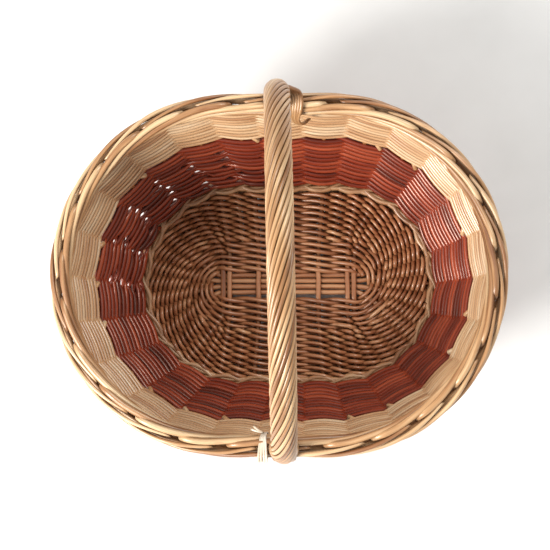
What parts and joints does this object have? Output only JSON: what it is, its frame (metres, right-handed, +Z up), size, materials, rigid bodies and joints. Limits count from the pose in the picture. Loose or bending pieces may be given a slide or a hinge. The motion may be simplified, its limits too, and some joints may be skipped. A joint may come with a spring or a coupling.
{
  "type": "market basket",
  "caption": "Oval woven willow basket with flared sides, a dyed lower band, a rod border and a fixed roped bow handle across its width.",
  "frame": {"origin": "middle of the underside, on the surface the basket stands on", "axes": "+X along the oval's length, +Y along its width, which the handle spans, +Z up"},
  "size_m": [0.4252, 0.3452, 0.376],
  "materials": {
    "base_willow": "boiled brown willow, dull",
    "natural_willow": "peeled buff willow, satin",
    "red_willow": "dyed red-brown willow, satin",
    "border_willow": "peeled buff willow, satin",
    "handle_willow": "peeled buff willow, satin",
    "stake_willow": "peeled buff willow, satin",
    "pale_skein": "split white willow skein, satin"
  },
  "bodies": {
    "root": {"base_cross_stick_1": "base_willow", "base_cross_stick_2": "base_willow", "base_cross_stick_3": "base_willow", "base_cross_stick_4": "base_willow", "base_cross_stick_5": "base_willow", "base_cross_stick_6": "base_willow", "base_cross_stick_7": "base_willow", "base_long_stick_1": "base_willow", "base_long_stick_2": "base_willow", "base_long_stick_3": "base_willow", "base_long_stick_4": "base_willow", "base_weave": "base_willow", "border": "border_willow", "foot_wale": "natural_willow", "handle_bow": "handle_willow", "handle_foot_far": "handle_willow", "handle_foot_near": "handle_willow", "handle_lashing": "pale_skein", "handle_rope": "handle_willow", "handle_tuck": "handle_willow", "natural_weave_band": "natural_willow", "red_weave_band": "red_willow", "side_stake_01": "stake_willow", "side_stake_02": "stake_willow", "side_stake_03": "stake_willow", "side_stake_04": "stake_willow", "side_stake_05": "stake_willow", "side_stake_06": "stake_willow", "side_stake_07": "stake_willow", "side_stake_08": "stake_willow", "side_stake_09": "stake_willow", "side_stake_10": "stake_willow", "side_stake_11": "stake_willow", "side_stake_12": "stake_willow", "side_stake_13": "stake_willow", "side_stake_14": "stake_willow", "side_stake_15": "stake_willow", "side_stake_16": "stake_willow", "side_stake_17": "stake_willow", "side_stake_18": "stake_willow", "side_stake_19": "stake_willow", "side_stake_20": "stake_willow", "side_stake_21": "stake_willow", "side_stake_22": "stake_willow", "side_stake_23": "stake_willow", "side_stake_24": "stake_willow", "side_stake_25": "stake_willow", "side_stake_26": "stake_willow"}
  },
  "joints": []
}
